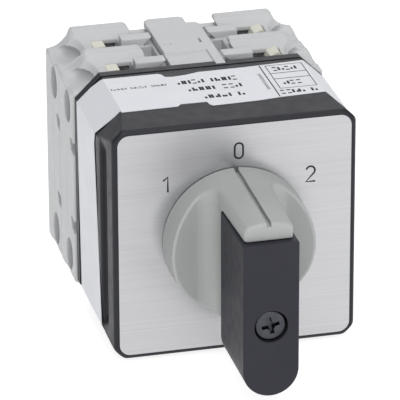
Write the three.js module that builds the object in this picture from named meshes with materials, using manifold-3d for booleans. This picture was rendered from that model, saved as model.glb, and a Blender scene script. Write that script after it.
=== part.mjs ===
// Panel-mounted rotary changeover switch, positions 1-0-2, in millimetres, +Z up.
// Origin: shaft axis at the panel plane (rear face of the bezel). +Y runs back into the panel.
import * as THREE from 'three';
import { mergeVertices } from 'three/addons/utils/BufferGeometryUtils.js';
import Module from 'manifold-3d';

const wasm = await Module();
wasm.setup();

// ---- driving dimensions ----
const GAP = 0.05;                 // clearance between parts that rest on each other
const PLATE_HALF = 29.3;
const PLATE_CORNER = 2.8;
const PLATE_T = 0.9;
const FRONT_Y = -12;              // front face of the face plate
const BODY_X = 31.8;              // half width of bezel rear, housing label and back plate
const BODY_Z = 31.2;              // half height of the same
const CHAMFER = 6.2;
const SKIN = 0.2;                 // label thickness
const HOUSING_REAR = 22.3;
const BACK_PLATE_REAR = 24.9;
const DECK_T = 15.95;
const DECK_PITCH = 16;
const DECK_FRONT_Y = BACK_PLATE_REAR + GAP;
const DECK_X = 32.4;
const DECK_FLOOR = 28.9;          // outer floor between the raised walls
const DECK_WALL = 31.4;           // top of the raised walls
const WALL_IN = 11.2;             // inner end of a raised wall
const COVER_HALF = 6.9;
const COVER_SEAT = 29.3;          // underside of the bridge cover
const LEVER_HALF = 6.9;
const LEVER_FRONT = -46.5;
const LEVER_BACK = -24.5;
const LEVER_TOP = 12.9;
const LEVER_BOTTOM = -27;
const LEVER_SCREW_Z = -8.6;
const KNOB_BACK = -12.35;
const SHAFT_HALF = 3.5;
const SHAFT_FIT = 3.55;
const CAM_RISE = 1.75;            // contact carrier travel for 45 degrees of shaft rotation
const NOSE_R = 1.2;
const NOSE_REST = 10;             // radius where a carrier nose meets its cam at position 0
const CAM_CLEAR = 0.07;
const STRIP_Z = 14.6;             // inner face of a fixed contact strip
const STRIP_T = 1.0;
const CARRIER_SHOULDER = 18.0;
const WIRE_Z = 20.4;
const TERMINAL_X = 18.2;
const TERMINAL_Y = 6.6;           // depth of terminal and carrier axes inside a deck
const TIE_X = 24.8;
const FIX = 22.5;                 // bezel fixing screws at plus and minus this in X and Z
const STAR_TIP = 13;
const STAR_ROOT = 11.8;

// ---- closed solids ----
function solid(geometry) {
  const plain = geometry.index ? geometry.toNonIndexed() : geometry.clone();
  for (const key of Object.keys(plain.attributes)) {
    if (key !== 'position') plain.deleteAttribute(key);
  }
  const g = mergeVertices(plain, 1e-5);
  const vertProperties = new Float32Array(g.attributes.position.array);
  const triVerts = new Uint32Array(g.index.array);
  return new wasm.Manifold(new wasm.Mesh({ numProp: 3, vertProperties, triVerts }));
}

function box(x0, x1, y0, y1, z0, z1) {
  const g = new THREE.BoxGeometry(x1 - x0, y1 - y0, z1 - z0);
  g.translate((x0 + x1) / 2, (y0 + y1) / 2, (z0 + z1) / 2);
  return solid(g);
}

const BASES = {
  x: [new THREE.Vector3(0, 1, 0), new THREE.Vector3(0, 0, 1), new THREE.Vector3(1, 0, 0)],
  y: [new THREE.Vector3(0, 0, 1), new THREE.Vector3(1, 0, 0), new THREE.Vector3(0, 1, 0)],
  z: [new THREE.Vector3(1, 0, 0), new THREE.Vector3(0, 1, 0), new THREE.Vector3(0, 0, 1)],
};

// Outline points are (y, z) for axis x, (z, x) for axis y and (x, y) for axis z.
function prism(axis, points, from, to) {
  const shape = new THREE.Shape(points.map((p) => new THREE.Vector2(p[0], p[1])));
  const g = new THREE.ExtrudeGeometry(shape, { depth: to - from, bevelEnabled: false });
  g.translate(0, 0, from);
  g.applyMatrix4(new THREE.Matrix4().makeBasis(...BASES[axis]));
  return solid(g);
}

function prismY(pointsXZ, from, to) {
  return prism('y', pointsXZ.map((p) => [p[1], p[0]]), from, to);
}

function cylinder(axis, r, from, to, a = 0, b = 0, segments = 24, r2 = r) {
  const g = new THREE.CylinderGeometry(r2, r, to - from, segments);
  g.rotateX(Math.PI / 2);
  g.translate(a, b, (from + to) / 2);
  g.applyMatrix4(new THREE.Matrix4().makeBasis(...BASES[axis]));
  return solid(g);
}

// A cylinder along Y centred at (x, z).
function rod(r, from, to, x = 0, z = 0, segments = 24, r2 = r) {
  return cylinder('y', r, from, to, z, x, segments, r2);
}

// Profile points are (radius, y), turned about the shaft axis.
function turned(profile, segments = 64) {
  const rising = profile[0][1] > profile[profile.length - 1][1] ? [...profile].reverse() : profile;
  const g = new THREE.LatheGeometry(rising.map((p) => new THREE.Vector2(p[0], p[1])), segments);
  return solid(g);
}

function union(...list) {
  return list.reduce((a, b) => a.add(b));
}

function cut(base, ...tools) {
  return tools.reduce((a, b) => a.subtract(b), base);
}

function loft(sections) {
  const n = sections[0].length;
  const flat = [];
  const tri = (a, b, c) => flat.push(...a, ...b, ...c);
  for (let s = 0; s + 1 < sections.length; s += 1) {
    for (let i = 0; i < n; i += 1) {
      const j = (i + 1) % n;
      const [a, b] = [sections[s][i], sections[s][j]];
      const [c, d] = [sections[s + 1][j], sections[s + 1][i]];
      tri(a, c, b);
      tri(a, d, c);
    }
  }
  const first = sections[0];
  const last = sections[sections.length - 1];
  const mid = (sec) => [0, sec[0][1], 0];
  for (let i = 0; i < n; i += 1) {
    const j = (i + 1) % n;
    tri(mid(first), first[i], first[j]);
    tri(mid(last), last[j], last[i]);
  }
  const g = new THREE.BufferGeometry();
  g.setAttribute('position', new THREE.BufferAttribute(new Float32Array(flat), 3));
  return solid(g);
}

// ---- outlines in the XZ plane ----
// t = 0 gives a rounded corner of radius c, t = 1 a straight chamfer of size c.
function squareOutline(hx, hz, c, t, steps = 6) {
  const points = [];
  const signs = [[1, 1], [-1, 1], [-1, -1], [1, -1]];
  signs.forEach(([sx, sz], q) => {
    for (let k = 0; k <= steps; k += 1) {
      const u = q % 2 === 0 ? k / steps : 1 - k / steps;
      const a = (u * Math.PI) / 2;
      const rx = (1 - t) * (c - c * Math.cos(a)) + t * c * u;
      const rz = (1 - t) * (c - c * Math.sin(a)) + t * c * (1 - u);
      points.push([sx * (hx - rx), sz * (hz - rz)]);
    }
  });
  return points;
}

function octagon(hx, hz, c) {
  return [
    [hx, hz - c], [hx - c, hz], [-hx + c, hz], [-hx, hz - c],
    [-hx, -hz + c], [-hx + c, -hz], [hx - c, -hz], [hx, -hz + c],
  ];
}

function section(y, hx, hz, c, t) {
  return squareOutline(hx, hz, c, t).map(([x, z]) => [x, y, z]);
}

// ---- fasteners ----
// Head from headFront back to headFront + headT, shank on to tip, all along +Y, with a cross recess.
function screwY(headR, headFront, headT, shankR, tip, x, z, segments = 20) {
  const head = rod(headR, headFront, headFront + headT, x, z, segments, headR);
  const shank = rod(shankR, headFront + headT - 0.01, tip, x, z, 14);
  const w = headR * 0.17;
  const l = headR * 0.58;
  const slotA = box(x - l, x + l, headFront - 1, headFront + headT * 0.55, z - w, z + w);
  const slotB = box(x - w, x + w, headFront - 1, headFront + headT * 0.55, z - l, z + l);
  return cut(union(head, shank), slotA, slotB);
}

// The same screw entering from outside along -Z (side = 1) or +Z (side = -1).
function screwZ(headR, headTop, headT, shankR, tip, x, y, side) {
  const head = cylinder('z', headR, headTop - headT, headTop, x, y, 18);
  const shank = cylinder('z', shankR, tip, headTop - headT + 0.01, x, y, 12);
  const slot = box(x - headR * 0.72, x + headR * 0.72, y - 0.35, y + 0.35, headTop - 0.9, headTop + 1);
  const s = cut(union(head, shank), slot);
  return side > 0 ? s : s.mirror([0, 0, 1]);
}

// Helical spring along Z between z0 and z1, four-sided wire.
function spring(x, y, z0, z1, coilR, wireR, turns) {
  const perTurn = 10;
  const n = Math.round(turns * perTurn);
  const rings = [];
  for (let i = 0; i <= n; i += 1) {
    const a = (i / perTurn) * 2 * Math.PI;
    const zc = z0 + wireR + ((z1 - z0 - 2 * wireR) * i) / n;
    const ring = [];
    for (let k = 0; k < 4; k += 1) {
      const b = (k / 4) * 2 * Math.PI;
      const r = coilR + wireR * Math.cos(b);
      ring.push([x + r * Math.cos(a), y + r * Math.sin(a), zc + wireR * Math.sin(b)]);
    }
    rings.push(ring);
  }
  const flat = [];
  for (let i = 0; i < n; i += 1) {
    for (let k = 0; k < 4; k += 1) {
      const m = (k + 1) % 4;
      flat.push(...rings[i][k], ...rings[i + 1][k], ...rings[i + 1][m]);
      flat.push(...rings[i][k], ...rings[i + 1][m], ...rings[i][m]);
    }
  }
  const [f, l] = [rings[0], rings[n]];
  flat.push(...f[0], ...f[1], ...f[2], ...f[0], ...f[2], ...f[3]);
  flat.push(...l[2], ...l[1], ...l[0], ...l[3], ...l[2], ...l[0]);
  const g = new THREE.BufferGeometry();
  g.setAttribute('position', new THREE.BufferAttribute(new Float32Array(flat), 3));
  const s = solid(g);
  if (s.volume() > 0) return s;
  const rev = [];
  for (let i = 0; i < flat.length; i += 9) {
    rev.push(...flat.slice(i, i + 3), ...flat.slice(i + 6, i + 9), ...flat.slice(i + 3, i + 6));
  }
  g.setAttribute('position', new THREE.BufferAttribute(new Float32Array(rev), 3));
  return solid(g);
}

// ---- front parts ----
function facePlate() {
  const outline = squareOutline(PLATE_HALF, PLATE_HALF, PLATE_CORNER, 0, 8);
  const plate = prismY(outline, FRONT_Y, FRONT_Y + PLATE_T);
  return cut(plate, rod(8.4, FRONT_Y - 1, FRONT_Y + 2, 0, 0, 48));
}

function bezel() {
  const y = FRONT_Y;
  const shell = loft([
    section(y + 0.05, 29.95, 29.95, 3.2, 0),
    section(y + 0.5, 30.35, 30.3, 3.5, 0),
    section(y + 1.7, 30.65, 30.6, 3.9, 0),
    section(y + 2.2, 30.8, 30.7, 4.1, 0.1),
    section(0, BODY_X, BODY_Z, CHAMFER, 1),
  ]);
  const pocket = prismY(squareOutline(PLATE_HALF + 0.08, PLATE_HALF + 0.08, PLATE_CORNER, 0, 8),
    y - 1, y + PLATE_T + GAP);
  const tools = [pocket, rod(8.6, y - 1, 1, 0, 0, 48)];
  for (const [sx, sz] of [[1, 1], [-1, 1], [-1, -1], [1, -1]]) {
    tools.push(rod(4.1, y, y + 5, sx * FIX, sz * FIX, 20));
    tools.push(rod(2.2, y, 1, sx * FIX, sz * FIX, 16));
  }
  for (const s of [1, -1]) {
    const xs = [s * 31.05, s * 33];
    tools.push(box(Math.min(...xs), Math.max(...xs), y + 5.2, y + 9.2, -23.6, 23.6));
  }
  return cut(shell, ...tools);
}

function bezelScrew(sx, sz) {
  return screwY(3.8, FRONT_Y + 1.4, 3.5, 1.95, 13, sx * FIX, sz * FIX);
}

// ---- handle ----
function knob() {
  const y = KNOB_BACK;
  const disc = turned([
    [0, y], [18.4, y], [18.4, y - 1.0], [18.2, y - 1.5], [17.35, y - 7.9], [16.9, y - 8.7],
    [0, y - 8.7],
  ], 72);
  const ridgeBody = turned([
    [0, y], [18.3, y], [18.2, y - 9], [17.95, LEVER_FRONT + 2.9], [17.5, LEVER_FRONT + 2.3],
    [0, LEVER_FRONT + 2.3],
  ], 72);
  const spineBox = box(-6.4, 6.4, LEVER_BACK + GAP, y, -17.3, 20);
  const spine = spineBox.intersect(ridgeBody);
  const flank = [
    [-7.6, y - 6], [-6.5, y - 12.5], [-5.95, LEVER_FRONT + 2.2], [5.95, LEVER_FRONT + 2.2],
    [6.5, y - 12.5], [7.6, y - 6], [7.6, y], [-7.6, y],
  ];
  const ridge = prism('z', flank, LEVER_TOP + GAP, 21).intersect(ridgeBody);
  let body = disc;
  for (const s of [1, -1]) {
    const scoop = cylinder('z', 5.7, -30, 30, s * 12.6, y - 12, 40);
    const outer = [s * 12.6, s * 24];
    const clear = box(Math.min(...outer), Math.max(...outer), y - 40, y - 12, -30, 30);
    body = cut(body, scoop, clear);
  }
  body = union(body, spine, ridge, rod(8.0, y - 1, -8.2, 0, 0, 40));
  const groove = box(-0.4, 0.4, LEVER_FRONT - 1, FRONT_Y, 17.0, 22);
  const slope = prism('x', [[y + 1, 18.4], [y + 1, 22], [-48, 22], [-48, 16.9]], -0.4, 0.4);
  const socket = box(-SHAFT_FIT, SHAFT_FIT, -21, 0, -SHAFT_FIT, SHAFT_FIT);
  return cut(body, slope.intersect(groove), socket, rod(3.7, LEVER_BACK - 1, -22, 0, 0, 20),
    rod(1.75, -23, -20, 0, 0, 14), rod(1.66, LEVER_BACK - 1, -14, 0, LEVER_SCREW_Z, 14));
}

function handleLever() {
  const points = [];
  const zc = LEVER_BOTTOM + LEVER_HALF;
  points.push([LEVER_HALF, LEVER_TOP], [-LEVER_HALF, LEVER_TOP]);
  for (let i = 0; i <= 20; i += 1) {
    const a = Math.PI + (Math.PI * i) / 20;
    points.push([LEVER_HALF * Math.cos(a), zc + LEVER_HALF * Math.sin(a)]);
  }
  const inset = points.map(([x, z]) => {
    const k = (LEVER_HALF - 0.35) / LEVER_HALF;
    return [x * k, z > 0 ? z - 0.35 : zc + (z - zc) * k];
  });
  const front = inset.map(([x, z]) => [x, LEVER_FRONT, z]);
  const step = points.map(([x, z]) => [x, LEVER_FRONT + 0.35, z]);
  const rear = points.map(([x, z]) => [x, LEVER_BACK, z]);
  const bar = loft([front, step, rear]);
  return cut(bar, rod(4.1, LEVER_FRONT - 1, LEVER_FRONT + 4.5, 0, LEVER_SCREW_Z, 28),
    rod(1.75, LEVER_FRONT, LEVER_BACK + 1, 0, LEVER_SCREW_Z, 16));
}

function leverScrew() {
  return screwY(3.75, LEVER_FRONT + 0.5, 3.9, 1.6, -15, 0, LEVER_SCREW_Z, 28);
}

function knobScrew() {
  return screwY(3.3, -24.3, 2.25, 1.5, -12, 0, 0, 18);
}

function shaft() {
  const bar = box(-SHAFT_HALF, SHAFT_HALF, -20.9, 56, -SHAFT_HALF, SHAFT_HALF);
  return cut(bar, rod(1.56, -22, -11, 0, 0, 14));
}

// ---- indexing mechanism ----
function housing() {
  const shell = prismY(octagon(BODY_X - SKIN, BODY_Z - SKIN, CHAMFER), GAP, HOUSING_REAR);
  const tools = [rod(8.25, -1, 4, 0, 0, 40), rod(14.2, 2.6, 23, 0, 0, 40)];
  tools.push(box(-3.3, 3.3, 6.9, 23, -27.6, 27.6));
  for (const [sx, sz] of [[1, 1], [-1, 1], [-1, -1], [1, -1]]) {
    tools.push(rod(2.0, -1, 14, sx * FIX, sz * FIX, 16));
  }
  for (const s of [1, -1]) tools.push(rod(2.05, 7, 23, s * TIE_X, 0, 16));
  return cut(shell, ...tools);
}

// Label sheet wrapped over the left, top and right of the housing, with stepped edges on top.
function label() {
  const outer = prismY(octagon(BODY_X, BODY_Z, CHAMFER), 0.15, HOUSING_REAR - 0.1);
  const inner = prismY(octagon(BODY_X - SKIN + 0.02, BODY_Z - SKIN + 0.02, CHAMFER), -1, 24);
  const below = box(-40, 40, -1, 30, -40, -24.6);
  const rearTop = prism('z', [
    [-27.6, 23], [-27.4, 22.1], [-25.8, 20.3], [-11.5, 20.3], [-10.7, 19.4], [-10.2, 17.8], [-8.4, 17.5],
    [-4.9, 18], [-1.5, 19], [10, 19.2], [25.8, 20.2], [27.4, 22.1], [27.6, 23],
  ], 28, 34);
  const frontTop = prism('z', [
    [-25, 0], [-25, 1.4], [-8, 1.4], [-7, 1.8], [-2.4, 1.8], [-1.2, 0.2], [-1.2, 0],
  ], 28, 34);
  const sideFront = [[-1, -10.4], [2.4, 18], [2.8, 22], [1.8, 25], [-1, 25]];
  const sideRear = [[19.6, -25], [23, -25], [23, 25], [22.9, 22]];
  const sides = [];
  for (const outline of [sideFront, sideRear]) {
    sides.push(prism('x', outline, -34, -31.3), prism('x', outline, 31.3, 34));
  }
  return cut(outer, inner, below, rearTop, frontTop, ...sides);
}

function backPlate() {
  const plate = prismY(octagon(BODY_X, BODY_Z, CHAMFER), HOUSING_REAR + GAP, BACK_PLATE_REAR);
  const tools = [rod(7.8, 20, 26, 0, 0, 40)];
  tools.push(box(4, 6.9, 23.2, 26, 30.2, 33), box(4, 6.9, 23.2, 26, -33, -30.2));
  for (const s of [1, -1]) tools.push(rod(2.2, 20, 26, s * TIE_X, 0, 16));
  return cut(plate, ...tools);
}

function indexWheel() {
  const points = [];
  const lobes = 8;
  for (let i = 0; i < lobes * 8; i += 1) {
    const a = (i / (lobes * 8)) * 2 * Math.PI;
    const wave = 0.5 - 0.5 * Math.cos(a * lobes);
    const r = STAR_ROOT + (STAR_TIP - STAR_ROOT) * wave;
    points.push([r * Math.cos(a), r * Math.sin(a)]);
  }
  const star = prismY(points, 8, 15.6);
  const hub = union(rod(8.0, 0.3, 10, 0, 0, 40), rod(7.65, 9, 24.7, 0, 0, 40));
  const socket = box(-SHAFT_FIT, SHAFT_FIT, -2, 26, -SHAFT_FIT, SHAFT_FIT);
  return cut(union(star, hub), socket);
}

function detentPlunger(side) {
  const zc = STAR_TIP + 0.12 + 2.2;
  const nose = cylinder('x', 2.2, -2.9, 2.9, 11.8, zc, 20);
  const stem = box(-2.9, 2.9, 7.3, 16.3, zc, 19.6);
  const boss = cylinder('z', 1.4, 19.5, 22, 0, 11.8, 14);
  const p = union(nose, stem, boss);
  return side > 0 ? p : p.mirror([0, 0, 1]);
}

function detentSpring(side) {
  const s = spring(0, 11.8, 19.65, 27.5, 2.1, 0.38, 4.5);
  return side > 0 ? s : s.mirror([0, 0, 1]);
}

// ---- contact decks ----
function toCorner(s, sx, sz) {
  const sided = sx > 0 ? s : s.mirror([1, 0, 0]);
  return sz > 0 ? sided : sided.mirror([0, 0, 1]);
}

// The slope that climbs from the deck's floor to the top of its raised rear wall.
function deckRamp() {
  return prism('x', [[8.1, 28], [8.1, DECK_FLOOR], [12.4, DECK_WALL], [12.4, 28]], WALL_IN, DECK_X);
}

// A cross rib with a leaning inner end that reaches over the spring well.
function deckRib() {
  return prismY([[7.2, 31.2], [15.9, 31.2], [15.9, 27], [11.4, 27]], 3.9, 7.4);
}

function deckOuter() {
  const y1 = DECK_T;
  const parts = [box(-DECK_X, DECK_X, 0, y1, -DECK_FLOOR, DECK_FLOOR)];
  for (const sz of [1, -1]) {
    const zs = (a, b) => (sz > 0 ? [a, b] : [-b, -a]);
    for (const sx of [1, -1]) {
      const xs = (a, b) => (sx > 0 ? [a, b] : [-b, -a]);
      parts.push(box(...xs(WALL_IN, DECK_X), 12.3, y1, ...zs(27, DECK_WALL)));
      parts.push(toCorner(deckRamp(), sx, sz), toCorner(deckRib(), sx, sz));
    }
  }
  return union(...parts);
}

// Concave corners: a cove along the full depth, and a deeper bowl in front of each raised wall.
function deckScoops() {
  const tools = [];
  for (const sx of [1, -1]) {
    for (const sz of [1, -1]) {
      tools.push(rod(6.0, -1, 17, sx * 32.5, sz * 32.2, 28));
      const g = new THREE.SphereGeometry(1, 20, 12);
      g.scale(5.9, 6.0, 7.6);
      g.translate(sx * 29.3, 6.3, sz * 32.6);
      tools.push(solid(g));
    }
  }
  return tools;
}

function deckCavity(isLast) {
  const open = -1;
  const wellEnd = isLast ? 13.4 : 17;
  const back = 10.5;
  const tools = [rod(13.6, open, 13.9, 0, 0, 48)];
  tools.push(rod(6.25, 13, 17, 0, 0, 32));
  for (const sz of [1, -1]) {
    const zs = (a, b) => (sz > 0 ? [a, b] : [-b, -a]);
    tools.push(box(-4.5, 4.5, open, back, ...zs(11, 32)));
    tools.push(box(-10.4, 10.4, open, back, ...zs(STRIP_Z - 0.05, 23.2)));
    tools.push(box(-COVER_HALF - 0.12, COVER_HALF + 0.12, open, 17, ...zs(COVER_SEAT, 34)));
    for (const sx of [1, -1]) {
      const xs = (a, b) => (sx > 0 ? [a, b] : [-b, -a]);
      tools.push(box(...xs(10.3, 25.1), open, 9.7, ...zs(STRIP_Z - 0.05, STRIP_Z + 1.1)));
      tools.push(box(...xs(14.6, 27), open, back, ...zs(STRIP_Z + STRIP_T - 0.02, 24.6)));
      const entry = cylinder('x', 1, 26, 34, 0, 0, 28).scale([1, 3.45, 4.2]);
      const placed = (sx > 0 ? entry : entry.mirror([1, 0, 0])).translate([0, 6.3, sz * WIRE_Z]);
      tools.push(placed);
      const pocket = xs(15.5, sx > 0 ? 23.3 : 21.8);
      tools.push(box(...pocket, 3.9, 9.3, ...zs(25.95, 34)));
      const hole = cylinder('z', 1.62, 24, 27, sx * TERMINAL_X, TERMINAL_Y, 14);
      tools.push(sz > 0 ? hole : hole.mirror([0, 0, 1]));
      tools.push(box(...xs(7.4, 11.0), 7.9, wellEnd, ...zs(25.4, 34)));
      tools.push(box(...xs(7.4, 11.0), open, 3.6, ...zs(25.4, 34)));
    }
  }
  return tools;
}

function deckNotches() {
  const leaf = (zLow) => [
    [-1, zLow], [-1, zLow + 3], [2.6, zLow + 4], [4.3, zLow + 3.6],
    [3.2, zLow + 1.2],
  ];
  const tools = [];
  for (const z of [9.0, -12.6]) {
    tools.push(prism('x', leaf(z), -34, -31.2));
    tools.push(prism('x', leaf(z), 31.2, 34));
  }
  return tools;
}

function deck(isLast) {
  const tools = [...deckCavity(isLast), ...deckScoops(), ...deckNotches()];
  for (const s of [1, -1]) {
    tools.push(rod(2.2, -1, 17, s * TIE_X, 0, 16));
    if (isLast) tools.push(rod(4.0, 13.1, 17, s * TIE_X, 0, 20));
  }
  return cut(deckOuter(), ...tools);
}

// Pitch curve of a carrier nose centre: radius grows or falls linearly with shaft angle.
function camOutline(direction) {
  const k = CAM_RISE / (Math.PI / 4);
  const points = [];
  const pitch = (u) => NOSE_REST + NOSE_R + direction * k * u;
  const span = (54 * Math.PI) / 180;
  const steps = 18;
  for (const base of [Math.PI / 2, (3 * Math.PI) / 2]) {
    for (let i = 0; i <= steps; i += 1) {
      const u = -span + (2 * span * i) / steps;
      const r = pitch(u);
      const slope = direction * k;
      const norm = Math.hypot(r, slope);
      const off = NOSE_R + CAM_CLEAR;
      const a = base + u;
      const nx = (Math.cos(a) * r + Math.sin(a) * slope) / norm;
      const nz = (Math.sin(a) * r - Math.cos(a) * slope) / norm;
      points.push([r * Math.cos(a) - off * nx, r * Math.sin(a) - off * nz]);
    }
  }
  return points;
}

function cam(direction) {
  const disc = prismY(camOutline(direction), 3.4, 9.9);
  const hub = rod(6.2, 9, 15.7, 0, 0, 32);
  const lead = rod(6.2, 0.3, 4, 0, 0, 32);
  const socket = box(-SHAFT_FIT, SHAFT_FIT, -2, 18, -SHAFT_FIT, SHAFT_FIT);
  return cut(union(disc, hub, lead), socket);
}

function carrier(side) {
  const y = TERMINAL_Y;
  const nose = cylinder('y', NOSE_R, y - 2.9, y + 2.9, NOSE_REST + NOSE_R, 0, 24);
  const neck = box(-NOSE_R, NOSE_R, y - 2.9, y + 2.9, NOSE_REST + NOSE_R, 14);
  const body = box(-4.2, 4.2, y - 2.9, y + 2.9, 13.4, CARRIER_SHOULDER);
  const boss = cylinder('z', 1.45, CARRIER_SHOULDER - 0.1, 20.6, 0, y, 16);
  const c = union(nose, neck, body, boss);
  return side > 0 ? c : c.mirror([0, 0, 1]);
}

function bridge(side) {
  const y = TERMINAL_Y;
  const z = CARRIER_SHOULDER + GAP;
  let b = box(-9.6, 9.6, y - 2.6, y + 2.6, z, z + 1.1);
  for (const s of [1, -1]) b = union(b, cylinder('z', 1.3, z - 0.6, z + 0.1, s * 8, y, 16));
  b = cut(b, cylinder('z', 1.55, z - 1, z + 2, 0, y, 16));
  return side > 0 ? b : b.mirror([0, 0, 1]);
}

function contactSpring(side) {
  const y = TERMINAL_Y;
  const s = spring(0, y, CARRIER_SHOULDER + 1.25, COVER_SEAT - 0.05, 2.3, 0.4, 4.5);
  return side > 0 ? s : s.mirror([0, 0, 1]);
}

function contactStrip(sx, side) {
  const y = TERMINAL_Y;
  const [a, b] = [6.5, 25];
  const xs = sx > 0 ? [a, b] : [-b, -a];
  const s = box(...xs, y - 2.8, y + 2.8, STRIP_Z, STRIP_Z + STRIP_T - 0.05);
  return side > 0 ? s : s.mirror([0, 0, 1]);
}

function terminalScrew(sx, side) {
  return screwZ(2.4, 27.8, 1.8, 1.55, 21, sx * TERMINAL_X, TERMINAL_Y, side);
}

// Cover over the two decks' spring wells, with a rear tab and a hook over the back plate.
function bridgeCover(side) {
  const [z0, z1] = [COVER_SEAT + GAP, DECK_WALL - 0.2];
  const y0 = DECK_FRONT_Y + 0.3;
  const outline = [
    [-6.8, y0], [4.1, y0], [4.1, y0 - 1.9], [6.8, y0 - 1.9], [6.8, y0 + 25.6], [5.4, y0 + 27.4],
    [3.5, y0 + 27.4], [3.5, y0 + 31.2], [2.7, y0 + 31.9], [-5.7, y0 + 31.9], [-6.4, y0 + 31.2],
  ];
  const plate = prism('z', outline, z0, z1);
  const lower = box(-7, 4.2, y0 - 1, y0 + 8.2, z1 - 0.45, z1 + 1);
  const slit = box(3.7, 4.3, y0 + 13.2, y0 + 16.0, z1 - 0.6, z1 + 1);
  const dimple = cylinder('z', 0.9, z1 - 0.3, z1 + 1, -4.4, y0 + 14, 16);
  const hookGap = box(-8, 8, y0 - 3, y0 - 0.25, z0 - 1, z0 + 0.95);
  const c = cut(plate, lower, slit, dimple, hookGap);
  return side > 0 ? c : c.mirror([0, 0, 1]);
}

function tieBolt(s) {
  const x = s * TIE_X;
  const rear = DECK_FRONT_Y + DECK_PITCH + DECK_T;
  const head = rod(3.7, rear - 2.75, rear - 0.3, x, 0, 6);
  return union(head, rod(1.95, 9, rear - 2.7, x, 0, 16));
}

// ---- assembly ----
const MATERIALS = {
  black: [0x2b2b2f, 0.0, 0.5],
  grey_knob: [0xa5a8a2, 0.0, 0.55],
  deck_grey: [0xc4c6c5, 0.0, 0.6],
  plate: [0xc9c9cc, 0.9, 0.35],
  label: [0xe2e3e6, 0.0, 0.6],
  steel: [0x9a9ca0, 0.9, 0.35],
  brass: [0xb89a55, 0.9, 0.35],
  moulding: [0xd9d5c8, 0.0, 0.6],
  dark_steel: [0x3a3a3e, 0.8, 0.4],
};

function finish(name, shape, slot) {
  const m = shape.getMesh();
  const positions = new Float32Array(m.triVerts.length * 3);
  for (let i = 0; i < m.triVerts.length; i += 1) {
    for (let k = 0; k < 3; k += 1) {
      const v = m.vertProperties[m.triVerts[i] * m.numProp + k];
      positions[i * 3 + k] = Math.round(v * 1e4) / 1e4;
    }
  }
  const g = new THREE.BufferGeometry();
  g.setAttribute('position', new THREE.BufferAttribute(positions, 3));
  const merged = mergeVertices(g, 1e-5);
  merged.computeVertexNormals();
  const [color, metalness, roughness] = MATERIALS[slot];
  const mesh = new THREE.Mesh(merged, new THREE.MeshStandardMaterial({ color, metalness, roughness }));
  mesh.name = name;
  return mesh;
}

function place(parent, y = 0) {
  const g = new THREE.Group();
  g.position.y = y;
  parent.add(g);
  return g;
}

function add(parent, name, shape, slot) {
  parent.add(finish(name, shape, slot));
}

const ENDS = [['upper', 1], ['lower', -1]];
const HANDS = [['right', 1], ['left', -1]];

const group = new THREE.Group();
const fixed = place(group);
const rotor = place(group);

add(fixed, 'face_plate', facePlate(), 'plate');
add(fixed, 'bezel', bezel(), 'black');
for (const [corner, sx, sz] of [['ne', 1, 1], ['nw', -1, 1], ['sw', -1, -1], ['se', 1, -1]]) {
  add(fixed, `bezel_screw_${corner}`, bezelScrew(sx, sz), 'steel');
}
add(fixed, 'mechanism_housing', housing(), 'black');
add(fixed, 'rating_label', label(), 'label');
add(fixed, 'back_plate', backPlate(), 'black');
for (const [end, side] of ENDS) {
  add(fixed, `detent_plunger_${end}`, detentPlunger(side), 'steel');
  add(fixed, `detent_spring_${end}`, detentSpring(side), 'steel');
  add(fixed, `bridge_cover_${end}`, bridgeCover(side), 'deck_grey');
}
for (const [hand, sx] of HANDS) add(fixed, `tie_bolt_${hand}`, tieBolt(sx), 'steel');

add(rotor, 'knob', knob(), 'grey_knob');
add(rotor, 'handle_lever', handleLever(), 'black');
add(rotor, 'lever_screw', leverScrew(), 'dark_steel');
add(rotor, 'knob_screw', knobScrew(), 'steel');
add(rotor, 'shaft', shaft(), 'steel');
add(rotor, 'index_wheel', indexWheel(), 'moulding');

['front', 'rear'].forEach((level, index) => {
  const y = DECK_FRONT_Y + index * DECK_PITCH;
  const stack = place(fixed, y);
  add(stack, `deck_${level}`, deck(index === 1), 'deck_grey');
  add(place(rotor, y), `cam_${level}`, cam(index === 0 ? 1 : -1), 'moulding');
  for (const [end, side] of ENDS) {
    add(stack, `carrier_${level}_${end}`, carrier(side), 'moulding');
    add(stack, `bridge_${level}_${end}`, bridge(side), 'brass');
    add(stack, `contact_spring_${level}_${end}`, contactSpring(side), 'steel');
    for (const [hand, sx] of HANDS) {
      add(stack, `strip_${level}_${end}_${hand}`, contactStrip(sx, side), 'brass');
      add(stack, `terminal_screw_${level}_${end}_${hand}`, terminalScrew(sx, side), 'steel');
    }
  }
});

export default group;
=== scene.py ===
"""Looks of a panel-mounted rotary changeover switch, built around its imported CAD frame."""
import itertools
import math

import bmesh
import bpy
import numpy as np
from mathutils import Matrix, Vector


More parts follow.
